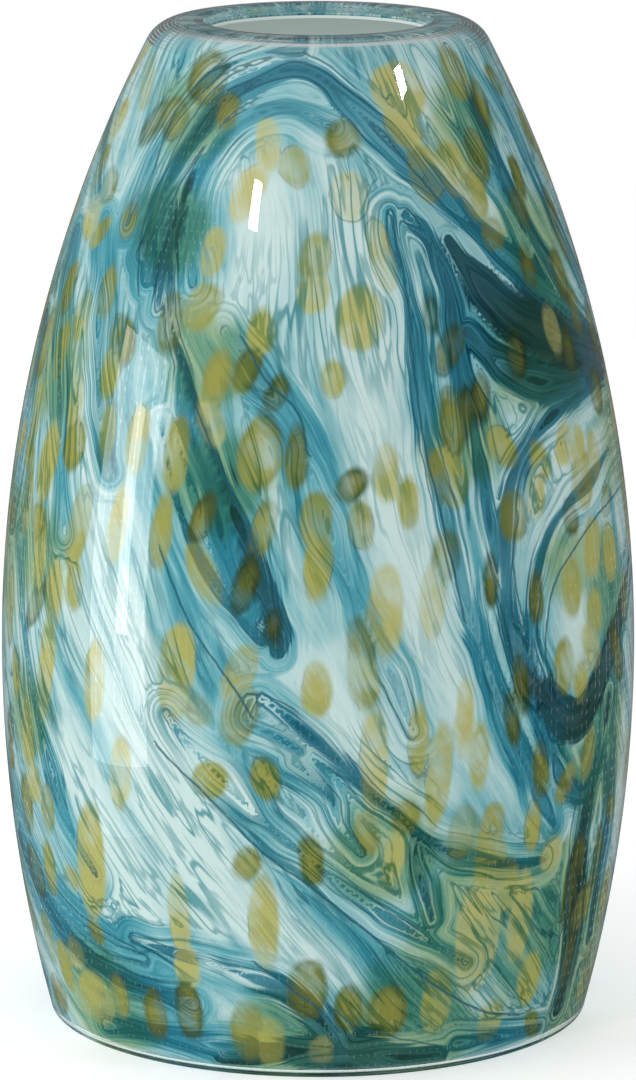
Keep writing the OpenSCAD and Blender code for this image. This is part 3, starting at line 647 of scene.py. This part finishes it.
fine = new_node(tree, "ShaderNodeMix", {0: away, 2: fine, 3: drawn_fine},
                data_type="FLOAT").outputs[0]
fine_swing = math_node(tree, "MULTIPLY_ADD", fine, 0.7, -0.35)


def flow_lines(across_scale, drawn_scale, thickness):
    """Crisp lines that follow the flow, where a long drawn-out noise passes its middle."""
    beside_trail = noise(tree, streak_vector(across_scale, 9.0), 1.0, 2.0, 0.5)
    in_the_open = noise(tree, long_swayed, drawn_scale, 2.0, 0.5)
    level = new_node(tree, "ShaderNodeMix", {0: away, 2: beside_trail, 3: in_the_open},
                     data_type="FLOAT").outputs[0]
    off = math_node(tree, "ABSOLUTE", math_node(tree, "SUBTRACT", level, 0.5))
    return step_node(tree, off, thickness, thickness * 0.2)


long_tilted = new_node(tree, "ShaderNodeMapping",
                       {"Vector": leaning, "Scale": (52.0, 52.0, 3.0)})
long_swayed = new_node(tree, "ShaderNodeVectorMath",
                       {0: sway.outputs["Color"], 1: (1.6, 1.6, 0.3), 2: long_tilted.outputs[0]},
                       operation="MULTIPLY_ADD").outputs[0]
bold_lines = flow_lines(0.13, 2.2, 0.022)
thin_lines = flow_lines(0.36, 5.5, 0.055)

# the aqua ground, paler in the wisps and a little deeper beside the trails
milk = step_node(tree, math_node(tree, "ADD", wisp, math_node(tree, "MULTIPLY", slow_mm, 0.5)),
                 6.0, -6.0)
beside = step_node(tree, edge, 14.0, 0.0, -0.02, 0.04)
shade = math_node(tree, "MULTIPLY_ADD", streaks, 1.35, -0.135)
shade = math_node(tree, "ADD", shade, math_node(tree, "MULTIPLY_ADD", milk, -0.24, beside))
shade = math_node(tree, "MULTIPLY_ADD", fine_swing, 0.9, shade)
ground = colour_ramp(tree, shade, [
    (0.25, (0.58, 0.72, 0.70)), (0.43, (0.45, 0.63, 0.63)), (0.55, (0.25, 0.49, 0.52)),
    (0.67, (0.09, 0.34, 0.40)), (0.84, (0.02, 0.20, 0.27))])

# teal trails: streaky, darker along their cores, feathered at the edge
core = step_node(tree, edge, 0.5, -5.0, -0.06, 0.12)
trail_shade = math_node(tree, "MULTIPLY_ADD", math_node(tree, "SUBTRACT", streaks, 0.5), 1.2, tone)
trail_shade = math_node(tree, "ADD", trail_shade, core)
trail_shade = math_node(tree, "MULTIPLY_ADD", fine_swing, 1.5, trail_shade)
trail = colour_ramp(tree, trail_shade, [
    (0.0, (0.30, 0.53, 0.57)), (0.3, (0.10, 0.36, 0.43)), (0.58, (0.018, 0.20, 0.28)),
    (0.86, (0.004, 0.11, 0.165)), (1.15, (0.005, 0.05, 0.065))])
wander = math_node(tree, "ADD", edge, math_node(tree, "MULTIPLY", quick_mm, 0.6))
torn = math_node(tree, "MULTIPLY_ADD", math_node(tree, "ADD", fine, streaks), -9.0, 9.2)
trail_mask = step_node(tree, math_node(tree, "ADD", wander, torn), 0.7, -0.7)
colour = mix_colour(tree, math_node(tree, "MULTIPLY", trail_mask, 0.9), ground, trail)

# olive stains, patchy and drawn out with the streaks
blotch = math_node(tree, "ADD", noise(tree, coords, 48.0, 3.0), math_node(tree, "MULTIPLY", streaks, 0.6))
stain_mask = step_node(tree, math_node(tree, "MULTIPLY_ADD", blotch, 0.9, attribute(tree, "stain")),
                       0.95, 1.45, 0.0, 0.85)
olive = mix_colour(tree, 1.0, colour, (0.54, 0.59, 0.30, 1), "MULTIPLY")
colour = mix_colour(tree, stain_mask, colour, olive)

# amber, straw and olive chips, denser where they lie over a trail
ragged = math_node(tree, "ADD", chip, quick_mm)
ragged = math_node(tree, "MULTIPLY_ADD", slow_mm, 0.3, ragged)
chip_mask = step_node(tree, ragged, 1.2, -1.0)
chip_core = step_node(tree, ragged, -0.5, -3.2)
chip_colour = colour_ramp(tree, hue, [
    (0.0, (0.55, 0.54, 0.27)), (0.3, (0.38, 0.39, 0.12)), (0.6, (0.17, 0.21, 0.055)),
    (1.0, (0.04, 0.085, 0.03))])
chip_colour = mix_colour(tree, math_node(tree, "MULTIPLY", chip_core, 0.3), chip_colour,
                         (0.50, 0.41, 0.06, 1))
soaked = mix_colour(tree, 1.0, colour, chip_colour, "MULTIPLY")
chip_look = mix_colour(tree, math_node(tree, "MULTIPLY_ADD", trail_mask, 0.4, 0.12),
                       chip_colour, soaked)
patchy = step_node(tree, math_node(tree, "ADD", noise(tree, coords, 70.0, 3.0),
                                   math_node(tree, "MULTIPLY", fine_swing, 0.8)), 0.3, 0.62, 0.4, 1.0)
colour = mix_colour(tree, math_node(tree, "MULTIPLY", chip_mask, patchy), colour, chip_look)

# dark outlines that glass leaves round a chip and along a trail
rim_here = step_node(tree, noise(tree, coords, 55.0, 1.0), 0.56, 0.7, 0.0, 0.6)
chip_rim = step_node(tree, math_node(tree, "ABSOLUTE", ragged), 0.45, 0.05)
chip_rim = math_node(tree, "MULTIPLY", chip_rim, rim_here)
trail_rim = step_node(tree, math_node(tree, "ABSOLUTE", wander), 0.45, 0.05)
trail_rim = math_node(tree, "MULTIPLY", trail_rim,
                      step_node(tree, noise(tree, coords, 32.0, 1.0), 0.48, 0.6))
# lines of darker glass that follow the flow, in families
lines_here = step_node(tree, noise(tree, coords, 19.0, 2.0), 0.34, 0.56, 0.0, 1.0)
hair = math_node(tree, "MAXIMUM", bold_lines, math_node(tree, "MULTIPLY", thin_lines, 0.7))
hair = math_node(tree, "MULTIPLY", hair, lines_here)
stained = mix_colour(tree, 1.0, colour, (0.10, 0.38, 0.43, 1), "MULTIPLY")
colour = mix_colour(tree, math_node(tree, "MULTIPLY", hair, 0.88), colour, stained)
# the drawn threads
thread_line = step_node(tree, math_node(tree, "ABSOLUTE", math_node(
    tree, "ADD", side, math_node(tree, "MULTIPLY", quick_mm, 0.5))), 0.55, 0.2)
thread = math_node(tree, "MULTIPLY", thread_line, step_node(tree, reach, 2.2, 1.4))
dark = math_node(tree, "MAXIMUM", math_node(tree, "MAXIMUM", chip_rim, trail_rim), thread)
dark = math_node(tree, "MULTIPLY", dark, 0.8)
colour = mix_colour(tree, dark, colour, (0.01, 0.09, 0.13, 1))

shader = new_node(tree, "ShaderNodeBsdfPrincipled",
                  {"Base Color": colour, "Roughness": 0.35, "IOR": 1.4,
                   "Specular IOR Level": 0.0})
new_node(tree, "ShaderNodeOutputMaterial", {"Surface": shader.outputs[0]})
gather.data.materials.append(coloured)
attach(gather, "root")
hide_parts("aqua_ground", "teal_trails", "white_wisps", "dark_threads",
            "olive_chips", "amber_chips")

# ---- Opal lining ----
# The first gather: dense white opal glass with a grey-green cast. It is what
# shows down the mouth, and it makes the colours over it glow.
opal, tree = new_material("opal_lining_glass")
coords = new_node(tree, "ShaderNodeTexCoord").outputs["Object"]
cloud = noise(tree, coords, 22.0, 3.0)
shade = colour_ramp(tree, cloud, [(0.3, (0.70, 0.77, 0.75)), (0.7, (0.80, 0.86, 0.84))])
# painted glow: the lining is no lamp, but it emits its own colour faintly so the white seen down the
# mouth is lighter
shader = new_node(tree, "ShaderNodeBsdfPrincipled",
                  {"Base Color": shade, "Roughness": 0.22, "IOR": 1.5, "Emission Color": shade,
                   "Emission Strength": 0.1})
new_node(tree, "ShaderNodeOutputMaterial", {"Surface": shader.outputs[0]})
lining = bpy.data.objects["opal_lining"]
lining.data.materials.clear()
lining.data.materials.append(opal)

# ---- Studio ----
# A pale table in a white tent. A tall soft light with a brighter tube in it and
# a short one under it stands on the left, with a broad fill beside it, and two
# small soft lights hang above.
TABLE_R = 1.6
TABLE_GAP = 0.0002
bm = bmesh.new()
bmesh.ops.create_circle(bm, cap_ends=True, segments=96, radius=TABLE_R)
floor_mesh = bpy.data.meshes.new("table")
bm.to_mesh(floor_mesh)
bm.free()
table = bpy.data.objects.new("table", floor_mesh)
bpy.context.scene.collection.objects.link(table)
table.location = (0, 0, -TABLE_GAP)
white, tree = new_material("table_white")
shader = new_node(tree, "ShaderNodeBsdfPrincipled",
                  {"Base Color": (0.93, 0.93, 0.93, 1), "Roughness": 0.6,
                   "Emission Color": (1, 1, 1, 1), "Emission Strength": 0.32})
new_node(tree, "ShaderNodeOutputMaterial", {"Surface": shader.outputs[0]})
floor_mesh.materials.append(white)
table.visible_glossy = False

world = bpy.data.worlds.new("tent")
world.use_nodes = True
tree = world.node_tree
tent = tree.nodes["Background"]
tent.inputs[0].default_value = (1, 1, 1, 1)
way = new_node(tree, "ShaderNodeSeparateXYZ",
               {0: new_node(tree, "ShaderNodeTexCoord").outputs["Generated"]})
tent_glow = new_node(tree, "ShaderNodeMapRange", {"Value": way.outputs["X"], "From Min": -1.0,
                                                  "From Max": 1.0, "To Min": 0.95, "To Max": 0.55})
# the tent is dim where the glass mirrors it, so the dark colours stay deep
path = new_node(tree, "ShaderNodeLightPath")
overhead = step_node(tree, way.outputs["Z"], 0.2, 0.8, 0.8, 0.15)
mirrored = math_node(tree, "MULTIPLY", path.outputs["Is Glossy Ray"], overhead)
tent_glow = math_node(tree, "MULTIPLY", tent_glow.outputs[0],
                      math_node(tree, "SUBTRACT", 1.0, mirrored))
tree.links.new(math_node(tree, "MAXIMUM", path.outputs["Is Camera Ray"], tent_glow),
               tent.inputs[1])
bpy.context.scene.world = world


def soft_light(name, turn, tilt, distance, target_z, width, height, watts):
    """A rectangle that faces the vase from an azimuth and an elevation, both in degrees."""
    light = bpy.data.lights.new(name, "AREA")
    light.shape = "RECTANGLE"
    light.size = width
    light.size_y = height
    light.energy = watts
    lamp = bpy.data.objects.new(name, light)
    out = Vector((math.sin(math.radians(turn)) * math.cos(math.radians(tilt)),
                  -math.cos(math.radians(turn)) * math.cos(math.radians(tilt)),
                  math.sin(math.radians(tilt))))
    lamp.location = Vector((0, 0, target_z)) + out * distance
    lamp.rotation_euler = out.to_track_quat("Z", "Y").to_euler()
    lamp.visible_camera = False
    bpy.context.scene.collection.objects.link(lamp)
    return lamp


tall = soft_light("tall_soft_light", -70, 0, 0.46, 0.14, 0.19, 0.34, 0.75)
tall.visible_diffuse = False
tube = soft_light("tall_light_tube", -67.5, 0, 0.45, 0.17, 0.035, 0.18, 0.12)
tube.visible_diffuse = False
foot_light = soft_light("tall_light_foot", -70, 0, 0.46, -0.055, 0.19, 0.07, 0.05)
foot_light.visible_diffuse = False
fill = soft_light("left_fill_light", -70, 25, 1.6, 0.15, 0.9, 0.9, 5.0)
fill.visible_glossy = False
soft_light("small_soft_light_left", -32.5, 30.0, 1.3, 0.25, 0.09, 0.11, 1.4)
soft_light("small_soft_light_right", 60.0, 37.0, 1.3, 0.29, 0.11, 0.08, 1.3)

CAMERA_AWAY = 1.9023
CAMERA_HEIGHT = 0.5622
CAMERA_TILT = 12.353
CAMERA_LENS = 213.24
camera_data = bpy.data.cameras.new("camera")
camera_data.sensor_width = 36
camera_data.lens = CAMERA_LENS
camera = bpy.data.objects.new("camera", camera_data)
camera.location = (0, -CAMERA_AWAY, CAMERA_HEIGHT)
camera.rotation_euler = (math.radians(90 - CAMERA_TILT), 0, 0)
bpy.context.scene.collection.objects.link(camera)
bpy.context.scene.camera = camera
bpy.context.scene.view_settings.view_transform = "Standard"
